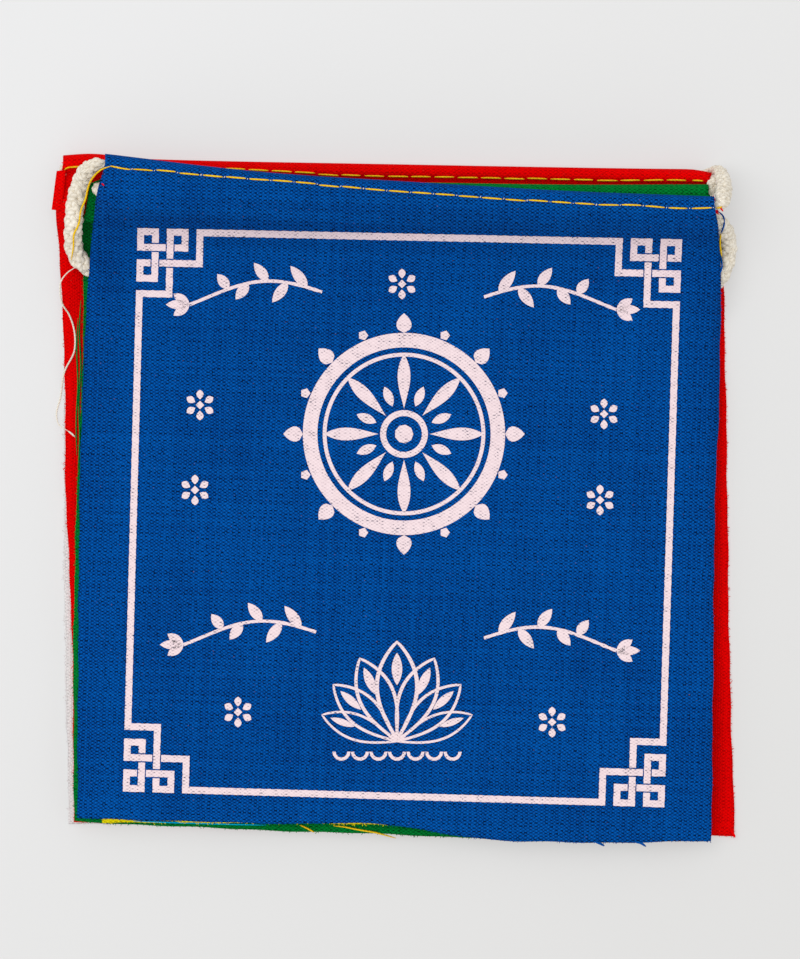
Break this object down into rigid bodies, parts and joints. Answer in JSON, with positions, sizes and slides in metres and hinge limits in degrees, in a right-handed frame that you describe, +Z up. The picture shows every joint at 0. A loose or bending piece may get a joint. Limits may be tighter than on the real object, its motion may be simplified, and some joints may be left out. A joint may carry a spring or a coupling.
{
  "type": "tibetan prayer flag string",
  "caption": "Square cotton flags hemmed over one soft cord and folded back and forth into a flat pile, the blue one on top with a printed frame",
  "frame": {"origin": "on the surface that the pile lies on, below the middle of the flags", "axes": "+X along the hems to the right as seen from above, +Y from the flags' feet to their hems, +Z up"},
  "size_m": [0.161, 0.1616, 0.0234],
  "materials": {
    "white_cloth": "matte plain weave",
    "red_cloth": "matte plain weave",
    "green_cloth": "matte plain weave",
    "yellow_cloth": "matte plain weave",
    "blue_cloth": "matte plain weave with a pale print",
    "cotton_cord": "soft braid"
  },
  "bodies": {
    "root": {"flag_white": "white_cloth", "flag_red": "red_cloth", "flag_green": "green_cloth", "flag_yellow": "yellow_cloth", "flag_blue": "blue_cloth", "string": "cotton_cord"}
  },
  "joints": []
}
